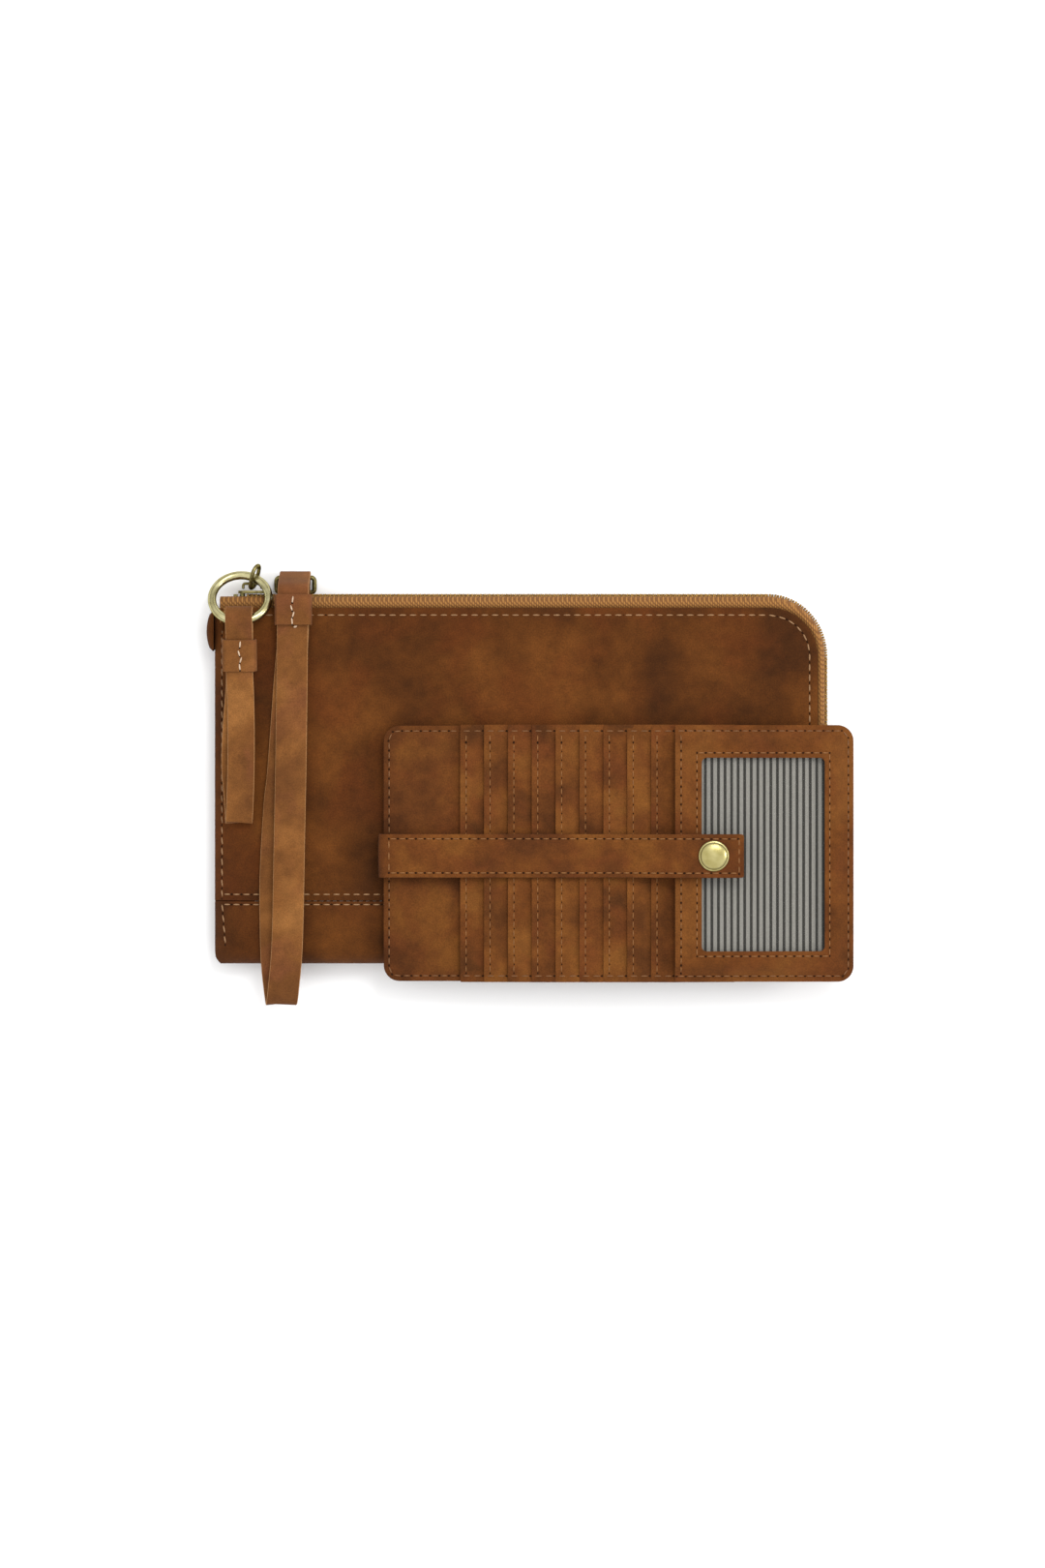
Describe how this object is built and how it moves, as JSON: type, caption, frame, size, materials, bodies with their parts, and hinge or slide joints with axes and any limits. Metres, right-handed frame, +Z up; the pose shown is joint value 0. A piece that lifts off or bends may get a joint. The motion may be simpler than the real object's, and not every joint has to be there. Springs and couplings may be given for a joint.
{
  "type": "wristlet wallet",
  "caption": "Flat zip pouch with a pull ring and leather pull, a folded wrist strap on a wire ring, and a loose fan-pocket card wallet with a clear window and a snap strap.",
  "frame": {"origin": "middle of the pouch's back face, which rests on the table", "axes": "+X along the zip away from its closed end, +Y towards the zipped top edge, +Z up out of the front face"},
  "size_m": [0.2535, 0.1734, 0.0293],
  "materials": {
    "brown_leather": "matte nubuck",
    "wallet_leather": "matte",
    "strap_leather": "matte",
    "zip_tape": "woven",
    "striped_lining": "woven stripe",
    "antique_brass": "antiqued",
    "clear_vinyl": "clear"
  },
  "bodies": {
    "pouch": {"back_panel": "brown_leather", "front_panel": "brown_leather", "base_band": "brown_leather", "left_gusset": "brown_leather", "side_tab": "brown_leather", "lining_bag": "striped_lining", "zip_tape_front": "zip_tape", "zip_tape_back": "zip_tape", "zip_teeth_front": "antique_brass", "zip_teeth_back": "antique_brass", "top_stop": "antique_brass", "bottom_stop": "antique_brass", "ring_tab": "brown_leather", "wrist_ring": "antique_brass"},
    "zip_slider": {"slider_body": "antique_brass", "slider_bridge": "antique_brass", "pull_link": "antique_brass"},
    "pull_ring": {"pull_ring": "antique_brass"},
    "pull_loop": {"pull_loop": "strap_leather", "pull_loop_keeper": "strap_leather"},
    "wrist_strap": {"wrist_strap": "strap_leather", "wrist_strap_keeper": "strap_leather"},
    "card_wallet": {"wallet_back_cover": "wallet_leather", "wallet_base_panel": "wallet_leather", "card_pocket_1": "wallet_leather", "card_pocket_2": "wallet_leather", "card_pocket_3": "wallet_leather", "card_pocket_4": "wallet_leather", "card_pocket_5": "wallet_leather", "card_pocket_6": "wallet_leather", "card_pocket_7": "wallet_leather", "card_pocket_8": "wallet_leather", "card_pocket_9": "wallet_leather", "window_frame": "wallet_leather", "window_vinyl": "clear_vinyl", "window_lining": "striped_lining", "strap_anchor": "wallet_leather", "snap_stud": "antique_brass"},
    "snap_strap": {"snap_strap": "wallet_leather", "snap_cap": "antique_brass", "snap_socket": "antique_brass"}
  },
  "joints": [
    {"name": "zip_slide", "type": "slide", "parent": "pouch", "child": "zip_slider", "axis": [1, 0, 0], "range_m": [0, 0.19], "deforming": ["zip_tape_front", "zip_tape_back", "zip_teeth_front", "zip_teeth_back", "wrist_strap", "wrist_strap_keeper"]},
    {"name": "ring_lift", "type": "hinge", "parent": "zip_slider", "child": "pull_ring", "pos_m": [-0.10297, 0.08192, 0.00884], "axis": [-0.8829, 0.3937, -0.2557], "range_deg": [0, 60.1]},
    {"name": "loop_lift", "type": "hinge", "parent": "pull_ring", "child": "pull_loop", "pos_m": [-0.10818, 0.06439, 0.02022], "axis": [1, 0, 0], "range_deg": [-45, 0]},
    {"name": "wrist_strap_swing", "type": "hinge", "parent": "pouch", "child": "wrist_strap", "pos_m": [-0.0872, 0.0824, 0.003], "axis": [1, 0, 0], "range_deg": [-105, 0]},
    {"name": "card_wallet_lift", "type": "slide", "parent": "pouch", "child": "card_wallet", "axis": [0, 0, 1], "range_m": [0, 0.06]},
    {"name": "snap_strap_open", "type": "hinge", "parent": "card_wallet", "child": "snap_strap", "pos_m": [-0.0535, -0.0273, 0.0185], "axis": [0, 1, 0], "range_deg": [-160, 0]}
  ],
  "couplings": [
    {"joint": "ring_lift", "follows": "zip_slide", "rad_per_m": 5.5}
  ]
}
